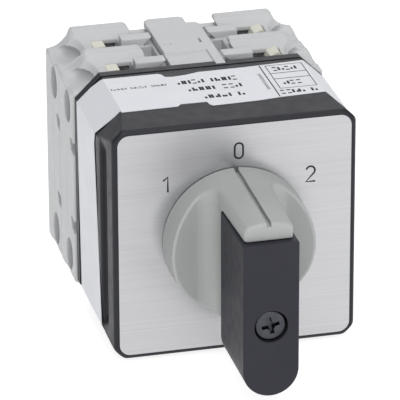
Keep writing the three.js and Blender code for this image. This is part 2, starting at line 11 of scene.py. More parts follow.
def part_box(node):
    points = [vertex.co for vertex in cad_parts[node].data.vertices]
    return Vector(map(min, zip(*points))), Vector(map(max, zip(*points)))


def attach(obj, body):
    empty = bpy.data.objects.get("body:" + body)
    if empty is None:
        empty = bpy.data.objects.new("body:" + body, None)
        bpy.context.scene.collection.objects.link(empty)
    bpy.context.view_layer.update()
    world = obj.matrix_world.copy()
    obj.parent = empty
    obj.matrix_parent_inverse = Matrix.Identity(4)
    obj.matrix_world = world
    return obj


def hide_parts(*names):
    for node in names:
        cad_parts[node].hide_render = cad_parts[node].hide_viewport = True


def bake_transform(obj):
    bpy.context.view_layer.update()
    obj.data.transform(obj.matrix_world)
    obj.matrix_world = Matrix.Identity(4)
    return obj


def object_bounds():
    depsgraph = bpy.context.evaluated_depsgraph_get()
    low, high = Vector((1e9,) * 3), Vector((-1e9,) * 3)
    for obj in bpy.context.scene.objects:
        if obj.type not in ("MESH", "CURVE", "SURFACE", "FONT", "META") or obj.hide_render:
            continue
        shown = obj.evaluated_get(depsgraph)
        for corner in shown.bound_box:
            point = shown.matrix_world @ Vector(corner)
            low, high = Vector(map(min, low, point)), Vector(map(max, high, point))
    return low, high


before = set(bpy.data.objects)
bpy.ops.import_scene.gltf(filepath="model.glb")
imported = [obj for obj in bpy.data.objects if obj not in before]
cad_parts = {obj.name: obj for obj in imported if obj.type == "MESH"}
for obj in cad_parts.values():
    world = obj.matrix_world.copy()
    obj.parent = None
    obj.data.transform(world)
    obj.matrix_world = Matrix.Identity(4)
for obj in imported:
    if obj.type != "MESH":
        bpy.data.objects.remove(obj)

MM = 0.001
CAD_LOW, CAD_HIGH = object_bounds()


def box_mm(node):
    """Lowest and highest corner of a CAD node, in millimetres."""
    low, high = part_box(node)
    return np.array(low) / MM, np.array(high) / MM


# ---- driving dimensions, in millimetres, most of them from the frame ----
PLATE_LOW, PLATE_HIGH = box_mm("face_plate")
PLATE_HALF = PLATE_HIGH[0]
PLATE_FRONT = PLATE_LOW[1]
BEZEL_LOW, BEZEL_HIGH = box_mm("bezel")
KNOB_LOW, KNOB_HIGH = box_mm("knob")
LEVER_LOW, LEVER_HIGH = box_mm("handle_lever")
LABEL_LOW = box_mm("rating_label")[0]
DECKS = {level: box_mm(f"deck_{level}") for level in ("front", "rear")}
DECK_HALF = DECKS["front"][1][0]
DECK_WALL = DECKS["front"][1][2]
DECK_T = DECKS["front"][1][1] - DECKS["front"][0][1]
BODY_X, BODY_Z = BEZEL_HIGH[0], BEZEL_HIGH[2]
CHAMFER = 6.2         # across the long corners of the body
LEVER_HALF = LEVER_HIGH[0]
LEVER_SCREW_Z = -8.6
KNOB_BACK = PLATE_FRONT - 0.35
DECK_FLOOR = 28.9
TIE_X = 24.8
TERMINAL_X, TERMINAL_Y = 18.2, 6.6
PLATE_CORNER = 2.8
FIXING = 22.5         # the bezel's fixing screws stand at plus and minus this in X and Z
WIRE_Z = 20.4
LAYER = 0.03          # thickness of ink on a surface
ENDS = (("upper", 1), ("lower", -1))


# ---- distance fields ----
def join(a, b, r):
    """Union with a fillet of radius r."""
    return np.maximum(r, np.minimum(a, b)) - np.hypot(np.maximum(r - a, 0), np.maximum(r - b, 0))


def meet(a, b, r):
    """Intersection with its edge rounded to radius r."""
    return np.minimum(-r, np.maximum(a, b)) + np.hypot(np.maximum(r + a, 0), np.maximum(r + b, 0))


def cut(a, b, r):
    """a without b, its new edges rounded to radius r."""
    return meet(a, -b, r)


def slab(a, low, high):
    return np.abs(a - (low + high) / 2) - (high - low) / 2


def brick(p, low, high, r):
    x, y, z = (slab(a, lo, hi) for a, lo, hi in zip(p, low, high))
    return meet(meet(x, y, r), z, r)


def rod(a, b, along, radius, low, high, r):
    """Round bar: a and b are measured from its axis."""
    return meet(np.hypot(a, b) - radius, slab(along, low, high), r)


def ellipsoid(p, centre, half, unit):
    """Close to the distance near an ellipsoid, and exact along an axis whose half length is unit."""
    parts = sum(((a - c) / h) ** 2 for a, c, h in zip(p, centre, half))
    return (np.sqrt(parts) - 1) * unit


def polygon(a, b, points):
    """Distance to a closed outline in the plane of a and b."""
    best, sign = np.inf, 1.0
    for (a0, b0), (a1, b1) in zip(points, points[1:] + points[:1]):
        ea, eb, wa, wb = a1 - a0, b1 - b0, a - a0, b - b0
        t = np.clip((wa * ea + wb * eb) / (ea * ea + eb * eb), 0, 1)
        best = np.minimum(best, (wa - ea * t) ** 2 + (wb - eb * t) ** 2)
        above, below, left = b >= b0, b < b1, ea * wb > eb * wa
        sign = np.where((above & below & left) | ~(above | below | left), -sign, sign)
    return sign * np.sqrt(best)


def gradient(field, points, h=0.01):
    columns = []
    for k in range(3):
        step = np.zeros(3)
        step[k] = h
        columns.append((field(*(points + step).T) - field(*(points - step).T)) / (2 * h))
    return np.stack(columns, axis=1)


def surface_net(field, low, high, step):
    """Points and quads of the surface where field is zero, inside the box from low to high."""
    axes = [np.arange(a - 1.6 * step, b + 2.5 * step, step) for a, b in zip(low, high)]
    shape = tuple(len(a) for a in axes)
    value = np.broadcast_to(field(*np.ix_(*axes)), shape)
    inside = value < 0
    cells = tuple(n - 1 for n in shape)
    count = np.zeros(cells, np.int8)
    for i, j, k in itertools.product((0, 1), repeat=3):
        count += inside[i:cells[0] + i, j:cells[1] + j, k:cells[2] + k]
    active = (count > 0) & (count < 8)
    number = np.full(cells, -1)
    number[active] = np.arange(active.sum())
    cell = np.argwhere(active)
    total, hits = np.zeros((len(cell), 3)), np.zeros(len(cell))
    for axis in range(3):
        unit = np.eye(3, dtype=int)[axis]
        for i, j in itertools.product((0, 1), repeat=2):
            start = cell + np.insert([i, j], axis, 0)
            fa, fb = value[tuple(start.T)], value[tuple((start + unit).T)]
            crossing = (fa < 0) != (fb < 0)
            share = np.where(crossing, fa, 0) / np.where(crossing, fa - fb, 1)
            total[crossing] += (start + share[:, None] * unit)[crossing]
            hits += crossing
    points = np.array([a[0] for a in axes]) + step * total / hits[:, None]
    quads = []
    for axis in range(3):
        u, v = np.roll(np.eye(3, dtype=int), -axis, axis=0)[1:]
        a = np.take(inside, range(shape[axis] - 1), axis)
        b = np.take(inside, range(1, shape[axis]), axis)
        edge = np.argwhere(a != b)
        edge = edge[((edge - u - v) >= 0).all(1) & (edge < cells).all(1)]
        ring = np.stack([number[tuple((edge - m).T)] for m in (0 * u, u, u + v, v)], axis=1)
        outward = a[tuple(edge.T)]
        quads += [ring[outward], ring[~outward][:, ::-1]]
    return points, np.concatenate(quads)


def settle(field, points, reach):
    """The points moved onto the surface, each by no more than reach."""
    start = points.copy()
    for _ in range(4):
        slope = gradient(field, points)
        size = np.maximum((slope ** 2).sum(1), 0.2)
        points = points - (field(*points.T) / size)[:, None] * slope
        points = start + np.clip(points - start, -reach, reach)
    return points


def thin_out(shape, share):
    """Give the object a mesh with only a share of its faces, flat stretches merged first."""
    shape.modifiers.new("thin", "DECIMATE").ratio = share
    graph = bpy.context.evaluated_depsgraph_get()
    mesh = bpy.data.meshes.new_from_object(shape.evaluated_get(graph))
    shape.modifiers.clear()
    shape.data = mesh


def moulding(name, field, low, high, step, share):
    """A mesh object of a distance field, with its exact normals."""
    points, quads = surface_net(field, low, high, step)
    points = settle(field, points, 0.7 * step)
    mesh = bpy.data.meshes.new(name)
    mesh.from_pydata((points * MM).tolist(), [], quads.tolist())
    made = bpy.data.objects.new(name, mesh)
    bpy.context.scene.collection.objects.link(made)
    thin_out(made, share)
    made.data.shade_smooth()
    at = np.zeros(len(made.data.vertices) * 3)
    made.data.vertices.foreach_get("co", at)
    normal = gradient(field, at.reshape(-1, 3) / MM)
    normal /= np.maximum(np.linalg.norm(normal, axis=1), 1e-9)[:, None]
    made.data.normals_split_custom_set_from_vertices(normal.tolist())
    return made


def finish_piece(piece, material, body, slot, *nodes):
    piece.data.materials.append(material)
    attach(piece, body)
    if nodes:
        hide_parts(*nodes)
    return piece


# ---- materials ----
class Shade:
    """A node material built up from named parts."""

    def __init__(self, name, **settings):
        self.material = bpy.data.materials.new(name)
        self.material.use_nodes = True
        self.tree = self.material.node_tree
        self.bsdf = self.tree.nodes["Principled BSDF"]
        self.place = self.add("ShaderNodeTexCoord").outputs["Object"]
        for key, value in settings.items():
            self.bsdf.inputs[key.replace("_", " ")].default_value = value

    def add(self, kind, **inputs):
        node = self.tree.nodes.new(kind)
        for key, value in inputs.items():
            self.feed(node.inputs[key.replace("_", " ")], value)
        return node

    def feed(self, socket, value):
        if isinstance(value, bpy.types.NodeSocket):
            self.tree.links.new(value, socket)
        else:
            socket.default_value = value

    def noise(self, per_mm, detail=2.0, stretch=(1, 1, 1)):
        """Noise with a pattern of per_mm cycles in a millimetre, along x, y and z by stretch."""
        scale = [per_mm / MM * s for s in stretch]
        mapping = self.add("ShaderNodeMapping", Vector=self.place, Scale=scale)
        texture = self.add("ShaderNodeTexNoise", Vector=mapping.outputs[0], Scale=1.0, Detail=detail)
        return texture.outputs["Fac"]

    def spread(self, value, low, high, start=0.3, end=0.7):
        node = self.add("ShaderNodeMapRange", Value=value)
        for socket, amount in zip(node.inputs[1:5], (start, end, low, high)):
            socket.default_value = amount
        return node.outputs[0]

    def tint(self, value, low, high, start=0.3, end=0.7):
        """Colour from low to high as value goes from start to end."""
        ramp = self.add("ShaderNodeValToRGB", Fac=value)
        for stop, at, colour in zip(ramp.color_ramp.elements, (start, end), (low, high)):
            stop.position = at
            stop.color = (*colour, 1)
        return ramp.outputs[0]

    def bump(self, *layers):
        """Layers of (height, depth in mm)."""
        normal = None
        for height, depth in layers:
            node = self.add("ShaderNodeBump", Height=height, Distance=depth * MM, Strength=1.0)
            if normal is not None:
                self.feed(node.inputs["Normal"], normal)
            normal = node.outputs[0]
        self.feed(self.bsdf.inputs["Normal"], normal)

    def set(self, **inputs):
        for key, value in inputs.items():
            self.feed(self.bsdf.inputs[key.replace("_", " ")], value)


def scaled(colour, factor):
    return tuple(min(1.0, c * factor) for c in colour)


def plastic(name, colour, roughness, grain, mottle, **settings):
    """Satin moulded plastic: fine spark-eroded grain, slight mottling and uneven gloss."""
    shade = Shade(name, **settings)
    cloud = shade.noise(0.06, 4.0)
    shade.set(
        Base_Color=shade.tint(cloud, scaled(colour, 1 - mottle), scaled(colour, 1 + mottle)),
        Roughness=shade.spread(shade.noise(0.35, 3.0), roughness - 0.05, roughness + 0.05),
    )
    shade.bump((shade.noise(3.5, 2.0), grain), (shade.noise(0.12, 1.0), 0.05))
    return shade.material


def metal(name, colour, roughness):
    """Plated or bare metal with fine drawn lines and dull patches."""
    shade = Shade(name, Metallic=1.0)
    line = shade.noise(0.4, 3.0, (1, 1, 12))
    patch = shade.noise(0.5, 3.0)
    shade.set(
        Base_Color=shade.tint(patch, scaled(colour, 0.85), scaled(colour, 1.1)),
        Roughness=shade.spread(line, roughness - 0.08, roughness + 0.1),
    )
    shade.bump((line, 0.004))
    return shade.material


def brushed_plate():
    """Aluminium sheet brushed from left to right, so that reflections smear up and down."""
    shade = Shade("brushed_plate", Metallic=1.0, Anisotropic=0.65)
    fine = shade.noise(0.035, 4.0, (1, 30, 260))
    broad = shade.noise(0.03, 3.0, (1, 30, 40))
    colour = (0.50, 0.50, 0.515)
    shade.set(
        Base_Color=shade.tint(fine, scaled(colour, 0.93), scaled(colour, 1.06)),
        Roughness=shade.spread(broad, 0.30, 0.36),
        Tangent=shade.add("ShaderNodeCombineXYZ", X=1.0).outputs[0],
    )
    shade.bump((fine, 0.004))
    return shade.material


def printed_film():
    """White printed film of the label, slightly uneven."""
    shade = Shade("label_film")
    fibre = shade.noise(1.2, 3.0)
    colour = (0.70, 0.705, 0.74)
    shade.set(
        Base_Color=shade.tint(fibre, scaled(colour, 0.975), scaled(colour, 1.02)),
        Roughness=shade.spread(shade.noise(0.15, 2.0), 0.42, 0.55),
    )
    shade.bump((fibre, 0.004), (shade.noise(0.08, 1.0), 0.06))
    return shade.material


def ink():
    shade = Shade("black_ink", Specular_IOR_Level=0.2)
    edge = shade.noise(4.0, 2.0)
    shade.set(
        Base_Color=shade.tint(edge, (0.010, 0.010, 0.012), (0.022, 0.022, 0.026)),
        Roughness=shade.spread(edge, 0.5, 0.65),
    )
    shade.bump((edge, 0.003))
    return shade.material


BLACK = plastic("black_moulding", (0.016, 0.0165, 0.022), 0.42, 0.008, 0.08, Specular_IOR_Level=0.25)
LEVER_BLACK = plastic("black_lever", (0.019, 0.0195, 0.027), 0.50, 0.010, 0.08, Specular_IOR_Level=0.25)
KNOB_GREY = plastic("warm_grey_moulding", (0.365, 0.372, 0.366), 0.45, grain=0.006, mottle=0.02)
DECK_GREY = plastic("deck_moulding", (0.525, 0.53, 0.535), 0.48, grain=0.008, mottle=0.02)
CREAM = plastic("natural_moulding", (0.68, 0.67, 0.58), 0.45, grain=0.006, mottle=0.03)
PLATE = brushed_plate()
FILM = printed_film()
INK = ink()
STEEL = metal("zinc_steel", (0.30, 0.31, 0.32), 0.36)
# A darker copy of the zinc steel for the terminal screws: painted shade for the dark pockets they sit in.
SHADE_DARKENED_STEEL = metal("shade_darkened_clamp_steel", (0.22, 0.22, 0.24), 0.34)
DARK_STEEL = metal("black_steel", (0.068, 0.070, 0.080), 0.38)
BRASS = metal("contact_brass", (0.62, 0.47, 0.22), 0.32)


# ---- knob ----
# In the next function d is the distance in front of the knob's rear face.
RIM_TAPER = 0.022
SPINE_FLOOR = 6.3          # depth of the scoops' floor in front of the knob's rear face
RIDGE_FRONT = KNOB_BACK - KNOB_LOW[1]
SHAFT_HALF = 3.55
GROOVE_HALF = 0.5


def knob_field(x, y, z):
    """A disc with a scoop on each side of a ridge, and a pointer groove at its upper end."""
    d = KNOB_BACK - y
    across = np.abs(x)
    radius = np.hypot(x, z)
    outer = radius - (KNOB_HIGH[0] - 0.12 - RIM_TAPER * d)
    flange = rod(x, z, d, KNOB_HIGH[0], -0.2, 0.75, 0.25)
    floor = SPINE_FLOOR + 0.43 * (np.hypot(np.maximum(across - 10.7, 0), 0.8) - 0.8)
    flank = across - (6.75 - 0.031 * (d - SPINE_FLOOR))
    ridge = meet(meet(flank, d - RIDGE_FRONT, 0.9), LEVER_HIGH[2] + 0.12 - z, 0.25)
    base = meet(meet(across - 6.45, d - 12.0, 0.2), -17.4 - z, 0.5)
    body = meet(join(d - floor, np.minimum(ridge, base), 3.7), outer, 0.85)
    body = meet(body, -d, 0.3)
    body = join(body, flange, 0.12)
    body = join(body, rod(x, z, y, 8.0, KNOB_BACK - 1, KNOB_HIGH[1], 0.2), 0.1)
    groove = meet(across - GROOVE_HALF, 16.4 + 0.02 * (RIDGE_FRONT - d) - z, 0.1)
    socket = meet(meet(across, np.abs(z), 0.1) - SHAFT_HALF, d - 8.7, 0.1)
    bore = rod(x, z - LEVER_SCREW_Z, d, 1.66, 1.6, 14, 0.1)
    well = rod(x, z, d, 3.7, 9.6, 14, 0.1)
    for hole in (groove, socket, bore, well):
        body = cut(body, hole, 0.15)
    return body


def build_knob():
    knob = moulding("pointer_knob", knob_field, KNOB_LOW, KNOB_HIGH, 0.27, 0.25)
    finish_piece(knob, KNOB_GREY, "rotor", "grey_knob_plastic", "knob")


# ---- lever ----
COUNTERBORE = 4.1


def lever_field(x, y, z):
    """A flat bar with a half-round lower end and a seat for its screw."""
    centre = LEVER_LOW[2] + LEVER_HALF
    straight = meet(np.abs(x) - LEVER_HALF, slab(z, centre, LEVER_HIGH[2]), 0.35)
    side = np.minimum(straight, np.hypot(x, z - centre) - LEVER_HALF)
    bar = meet(side, slab(y, LEVER_LOW[1], LEVER_HIGH[1]), 0.38)
    seat = rod(x, z - LEVER_SCREW_Z, y, COUNTERBORE, LEVER_LOW[1] - 2, LEVER_LOW[1] + 4.5, 0.1)
    hole = rod(x, z - LEVER_SCREW_Z, y, 1.75, LEVER_LOW[1], LEVER_HIGH[1] + 2, 0.1)
    return cut(cut(bar, seat, 0.18), hole, 0.1)


def build_lever():
    lever = moulding("lever_bar", lever_field, LEVER_LOW, LEVER_HIGH, 0.25, 0.2)
    finish_piece(lever, LEVER_BLACK, "rotor", "black_plastic", "handle_lever")


# ---- screws ----
def cross_recess(a, b, depth, arm, width, deep):
    """Tapered cross recess: a and b across the head, depth in from its crown."""
    taper = 0.28 * np.maximum(depth, 0)
    one = meet(np.abs(a) - arm + taper, np.abs(b) - width + 0.25 * taper, 0.06)
    two = meet(np.abs(b) - arm + taper, np.abs(a) - width + 0.25 * taper, 0.06)
    core = np.hypot(a, b) - (arm * 0.48) + taper
    return meet(join(join(one, two, 0.15), core, 0.1), depth - deep, 0.1)


def lever_screw_field(x, y, z):
    turn = math.radians(13)
    w = z - LEVER_SCREW_Z
    a, b = x * math.cos(turn) + w * math.sin(turn), w * math.cos(turn) - x * math.sin(turn)
    crown = box_mm("lever_screw")[0][1]
    radius = np.hypot(x, w)
    head = meet(radius - 3.86, slab(y, crown + 0.02 * radius ** 2, crown + 3.9), 0.45)
    shank = rod(x, w, y, 1.6, crown + 3.5, box_mm("lever_screw")[1][1], 0.3)
    return cut(join(head, shank, 0.2), cross_recess(a, b, y - crown, 2.25, 0.48, 1.5), 0.1)


def terminal_screw_field(x, y, z):
    """Slotted and crossed head, crown at z = 0."""
    head = rod(x, y, z, 2.4, -1.8, 0, 0.25)
    shank = rod(x, y, z, 1.55, -6.7, -1.6, 0.2)
    slot = meet(np.abs(y) - 0.33, -0.8 - z, 0.05)
    return cut(cut(join(head, shank, 0.1), slot, 0.06), cross_recess(x, y, -z, 1.3, 0.33, 1.2), 0.06)


def build_screws():
    low, high = box_mm("lever_screw")
    screw = moulding("lever_cross_screw", lever_screw_field, low, high, 0.13, 0.3)
    finish_piece(screw, DARK_STEEL, "rotor", "dark_steel", "lever_screw")
    pattern = moulding("terminal_screw", terminal_screw_field, (-2.5, -2.5, -6.8), (2.5, 2.5, 0), 0.16, 0.15)
    mesh = pattern.data
    # the terminal screws take the darker steel copy, painted shade of their pockets
    mesh.materials.append(SHADE_DARKENED_STEEL)
    bpy.data.objects.remove(pattern)
    for k, (level, (end, up), hand) in enumerate(itertools.product(DECKS, ENDS, ("right", "left"))):
        tag = f"{level}_{end}_{hand}"
        low, high = box_mm("terminal_screw_" + tag)
        crown = high[2] if up > 0 else low[2]
        screw = bpy.data.objects.new("clamp_screw_" + tag, mesh)
        bpy.context.scene.collection.objects.link(screw)
        middle = Vector(((low[0] + high[0]) / 2, (low[1] + high[1]) / 2, crown)) * MM
        flip = Matrix.Rotation(0 if up > 0 else math.pi, 4, "X")
        spin = Matrix.Rotation(math.radians(23 * k), 4, "Z")
        screw.matrix_world = Matrix.Translation(middle) @ flip @ spin
        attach(screw, "frame")
        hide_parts("terminal_screw_" + tag)


# ---- springs ----
def coil(name, x, y, z_low, z_high, radius, wire, turns):
    """A compression spring along Z with closed ends, as a round wire."""
    steps, around = ((20, 8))
    count = round(turns * steps)
    points = []
    for i in range(count + 1):
        share = i / count
        eased = np.clip((share * turns - 0.6) / (turns - 1.2), 0, 1)
        a = 2 * math.pi * i / steps
        middle = z_low + wire + (z_high - z_low - 2 * wire) * eased
        for k in range(around):
            b = 2 * math.pi * k / around
            r, height = radius + wire * math.cos(b), middle + wire * math.sin(b)
            points.append(((x + r * math.cos(a)) * MM, (y + r * math.sin(a)) * MM, height * MM))
    faces = []
    for i, k in itertools.product(range(count), range(around)):
        m = (k + 1) % around
        faces.append((i * around + k, i * around + m, (i + 1) * around + m, (i + 1) * around + k))
    faces += [tuple(range(around))[::-1], tuple(range(count * around, count * around + around))]
    mesh = bpy.data.meshes.new(name)
    mesh.from_pydata(points, [], faces)
    mesh.shade_smooth()
    made = bpy.data.objects.new(name, mesh)
    bpy.context.scene.collection.objects.link(made)
    mesh.materials.append(STEEL)
    return made


def build_springs():
    """A coiled wire in place of each contact and detent spring, built where the CAD spring stands."""
    tags = [f"{level}_{end}" for level in DECKS for end, _ in ENDS]
    places = [("contact_spring_" + tag, "carrier_" + tag) for tag in tags]
    places += [("detent_spring_" + end, "detent_" + end) for end, _ in ENDS]
    for node, body in places:
        low, high = box_mm(node)
        x, y = (low[0] + high[0]) / 2, (low[1] + high[1]) / 2
        radius, wire = (2.3, 0.38) if node.startswith("contact") else (2.1, 0.36)
        spring = coil("coil_" + node, x, y, low[2] + 0.02, high[2] - 0.02, radius, wire, 5.5)
        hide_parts(node)
        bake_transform(spring)


# ---- bezel ----
BEZEL_FRONT_X, BEZEL_FRONT_Z = 30.55, 30.5     # half sizes at the bezel's front
FRONT_BEVEL = 2.3


def bezel_field(x, y, z):
    """A frame that widens to the rear, its corners rounded in front and bevelled behind."""
    front, rear = BEZEL_LOW[1], BEZEL_HIGH[1]
    t = np.clip((y - front) / (rear - front), 0, 1)
    across, up = np.abs(x), np.abs(z)
    half_x = BEZEL_FRONT_X + (BODY_X - BEZEL_FRONT_X) * t
    half_z = BEZEL_FRONT_Z + (BODY_Z - BEZEL_FRONT_Z) * t
    corner = 3.9 - 3.5 * t
    u, v = across - half_x, up - half_z
    square = np.minimum(-corner, np.maximum(u, v))
    square = square + np.hypot(np.maximum(corner + u, 0), np.maximum(corner + v, 0))
    bevel = (across + up - (half_x + half_z) + FRONT_BEVEL + (CHAMFER - FRONT_BEVEL) * t) / math.sqrt(2)
    shell = meet(meet(meet(square, bevel, 0.35), front - y, 1.0), y - rear, 0.12)
    groove_floor = 30.0 + 0.45 * np.maximum(0, up - 22.0)
    groove = meet(slab(y, -6.8, -2.7), groove_floor - across, 0.8)
    pocket_half = PLATE_HALF + 0.08
    inset = pocket_half - PLATE_CORNER
    pocket = meet(meet(across, up, 0) - pocket_half, y - PLATE_HIGH[1] - 0.05, 0.05)
    round_pocket = np.hypot(np.maximum(across - inset, 0), np.maximum(up - inset, 0)) - PLATE_CORNER
    pocket = np.maximum(pocket, round_pocket)
    body = cut(cut(shell, groove, 0.8), pocket, 0.15)
    body = cut(body, np.hypot(x, z) - 8.6, 0.1)
    fixing = np.hypot(across - FIXING, up - FIXING)
    head = meet(fixing - 4.1, y - front - 5, 0.05)
    return cut(cut(body, head, 0.1), fixing - 2.2, 0.1)


def build_bezel():
    bezel = moulding("bezel_frame", bezel_field, BEZEL_LOW, BEZEL_HIGH, 0.3, 0.12)
    finish_piece(bezel, BLACK, "frame", "black_plastic", "bezel")


# ---- contact decks ----
# In these functions q is the depth inside a deck, across is |x| and up is |z|.
SEAM = 0.15           # the deck's faces stand back this far, so that a line shows between the decks
WALL_INNER = 11.2     # inner end of a raised wall on the left-hand side
RIB_TOP = 31.2
POCKET_REACH = {"left": 21.8, "right": 23.3}     # outer ends of the terminal pockets
LEAF_STARTS = (9.0, -12.6)
COVE_X, COVE_Z, COVE_RADIUS = 32.5, 32.2, 6.0


def deck_walls(x, q, across, up):
    """Raised walls with a flat top, a slope in front of it, and on the right a leaning inner end."""
    inner = np.where(x > 0, 10.5 + 0.7 * (DECK_WALL - up), WALL_INNER)
    ends = meet(inner - across, across - DECK_HALF, 0.5)
    wall = meet(meet(ends, up - DECK_WALL, 1.5), slab(q, 7.5, DECK_T - SEAM), 0.5)
    slope = (up - DECK_FLOOR - 0.44 * (q - 8.1)) * 0.915
    return meet(wall, np.minimum(slope, 13.0 - q), 0.3)


def deck_ribs(q, across, up):
    """Cross ribs whose inner ends lean out over the spring wells."""
    rib = meet(slab(q, 3.9, 7.5), up - RIB_TOP, 0.45)
    lean = (7.1 + RIB_TOP - up - across) * 0.71
    rib = meet(rib, meet(lean, across - 15.5, 0.3), 0.35)
    return meet(rib, 20 - up, 0.1)


def corner_bowl(p):
    """A bowl in the corner's cove, with a hollow that undercuts its rear."""
    bowl = ellipsoid(p, (29.3, 6.3, 32.6), (5.9, 6.0, 7.6), 5.9)
    hollow = ellipsoid(p, (29.6, 8.5, 26.6), (4.7, 4.8, 1.8), 1.8)
    return join(bowl, hollow, 0.1)


def terminal_pocket(x, q, across, up):
    """A shallow pocket, open to the terminal chamber below it in its inner part."""
    reach = np.where(x > 0, POCKET_REACH["right"], POCKET_REACH["left"])
    pocket = meet(meet(15.2 - across, across - reach, 0.3), slab(q, 3.9, 9.3), 0.3)
    depth = np.where(across < reach - 2.6, 21.5, 25.95)
    return meet(pocket, depth - up, 0.2)


def deck_recesses(p, last):
    """The recess behind each pocket, the spring well, the gutter in front and the cover's seat."""
    recess = brick(p, (15.6, 8.0, 24.5), (20.6, 11.2, 28.2), 0.3)
    well = brick(p, (7.4, 7.9, 25.4), (11.0, 13.2 if last else 19, 40), 0.3)
    gutter = brick(p, (7.4, -3, 25.4), (11.0, 3.6, 40), 0.3)
    seat = brick(p, (-10, -1, 29.3), (7.02, 17, 40), 0.15)
    return [recess, well, gutter, seat]


def side_openings(q, z, across, up):
    """The wire entry and the leaf-shaped notches in a deck's side."""
    entry = (np.hypot((q - 6.3) / 3.45, (up - WIRE_Z) / 4.2) - 1) * 3.45
    entry = meet(entry, 26 - across, 0.2)
    leaves = [
        polygon(q, z, [(-1, a), (-1, a + 3), (2.6, a + 4), (4.3, a + 3.6), (3.2, a + 1.2)])
        for a in LEAF_STARTS
    ]
    return [entry, meet(np.minimum(*leaves), 29.6 - across, 0.2)]


def deck_chambers(x, z, p, last):
    """The rooms for contacts, springs, cam and shaft, and the holes for bolts and screws."""
    across, q, up = p
    contacts = brick(p, (14.6, -9, 15.6), (27, 10.5, 24.6), 0.3)
    strips = brick(p, (-40, -9, 14.55), (25.1, 9.7, 15.7), 0.1)
    carrier = brick(p, (-10.4, -9, 14.55), (10.4, 10.5, 23.2), 0.2)
    spring = brick(p, (-4.5, -9, 11), (4.5, 10.5, 40), 0.2)
    cam = rod(x, z, q, 13.6, -9, 13.9, 0.2)
    shaft = rod(x, z, q, 6.25, 12, 19, 0.1)
    terminal = rod(across - TERMINAL_X, q - TERMINAL_Y, up, 1.62, 24, 27, 0.1)
    tie = np.hypot(across - TIE_X, z)
    rooms = [contacts, strips, carrier, spring, cam, shaft, terminal, tie - 2.2]
    if last:
        rooms.append(meet(tie - 4.0, 13.1 - q, 0.1))
    return rooms


def deck_field(level):
    low = DECKS[level][0][1]
    last = level == "rear"

    def field(x, y, z):
        q = y - low
        across, up = np.abs(x), np.abs(z)
        p = (across, q, up)
        body = brick(p, (-40, SEAM, -40), (DECK_HALF, DECK_T - SEAM, DECK_FLOOR), 0.5)
        body = join(body, deck_walls(x, q, across, up), 0.4)
        body = join(body, deck_ribs(q, across, up), 0.25)
        cove = np.hypot(across - COVE_X, up - COVE_Z) - COVE_RADIUS
        body = cut(body, cove, 1.0)
        body = cut(body, corner_bowl(p), 0.3)
        body = cut(body, terminal_pocket(x, q, across, up), 0.3)
        openings = deck_recesses(p, last) + side_openings(q, z, across, up)
        for opening in openings + deck_chambers(x, z, p, last):
            body = cut(body, opening, 0.25)
        return body

    return field


def build_decks():
    for level, (low, high) in DECKS.items():
        deck = moulding(f"contact_deck_{level}", deck_field(level), low, high, 0.3, 0.13)
        finish_piece(deck, DECK_GREY, "frame", "deck_grey_plastic", f"deck_{level}")


# ---- bridge covers ----
COVER_LOW, COVER_HIGH = box_mm("bridge_cover_upper")
COVER_START = COVER_LOW[1] + 1.9
COVER_UNDER, COVER_TOP = COVER_LOW[2], COVER_HIGH[2]
COVER_OUTLINE = [
    (-6.3, 0.5), (4.6, 0.5), (4.6, -1.4), (6.3, -1.4), (6.3, 25.8), (5.4, 26.9), (3.1, 26.9),
    (3.1, 30.7), (2.4, 31.4), (-5.5, 31.4), (-6.3, 30.6),
]


def cover_field(x, y, z):
    """A flat cover over the spring wells, its front part lowered, with a slit, a dimple and a hook."""
    v, up = y - COVER_START, np.abs(z)
    p = (x, v, up)
    plate = meet(polygon(x, v, COVER_OUTLINE) - 0.5, slab(up, COVER_UNDER, COVER_TOP), 0.3)
    lowered = brick(p, (-9, -9, COVER_TOP - 0.45), (4.2, 8.2, COVER_TOP + 9), 0.1)
    slit = brick(p, (3.72, 13.2, COVER_TOP - 0.9), (4.28, 16, COVER_TOP + 1), 0.1)
    dimple = np.sqrt((x + 4.4) ** 2 + (v - 14) ** 2 + (up - COVER_TOP - 1.1) ** 2) - 1.5
    under_hook = brick(p, (-9, -9, COVER_UNDER - 9), (9, -0.25, COVER_UNDER + 0.95), 0.1)
    for tool in (lowered, slit, dimple, under_hook):
        plate = cut(plate, tool, 0.12)
    return plate


def build_covers():
    for end, _ in ENDS:
        node = f"bridge_cover_{end}"
        low, high = box_mm(node)
        cover = moulding(f"well_cover_{end}", cover_field, low, high, 0.24, 0.15)
        finish_piece(cover, DECK_GREY, "frame", "deck_grey_plastic", node)


# ---- flaps that hang over the terminal screws ----
def flap_field(level, reach):
    """A tongue bent down at its outer end."""
    low = DECKS[level][0][1]

    def field(x, y, z):
        across, q, up = np.abs(x), y - low, np.abs(z)
        tongue = brick((across, q, up), (reach - 2.9, 5.3, 28.1), (reach + 0.3, 9.5, 29.2), 0.25)
        return join(tongue, brick((across, q, up), (reach - 0.7, 5.3, 26), (reach + 0.3, 9.5, 29), 0.2), 0.3)

    return field


def wedge_field(level, reach):
    """A block with a slanting top."""
    low = DECKS[level][0][1]

    def field(x, y, z):
        across, q, up = np.abs(x), y - low, np.abs(z)
        outline = [(reach - 3.9, 27.4), (reach + 0.2, 27.4), (reach - 1.1, 29.9), (reach - 3.3, 29.0)]
        return meet(polygon(across, up, outline) - 0.1, slab(q, 5.0, 9.6), 0.3)

    return field


def build_flaps():
    kinds = (("left", -1, flap_field), ("right", 1, wedge_field))
    for level, (end, up) in itertools.product(DECKS, ENDS):
        start = DECKS[level][0][1]
        for hand, side, shape in kinds:
            reach = POCKET_REACH[hand]
            x, z = sorted((side * (reach - 4.2), side * (reach + 0.5))), sorted((up * 25.8, up * 30.2))
            low, high = (x[0], start + 4.8, z[0]), (x[1], start + 9.8, z[1])
            flap = moulding(f"flap_{level}_{end}_{hand}", shape(level, reach), low, high, 0.16, 0.25)
            finish_piece(flap, CREAM, "frame", "inner_moulding")


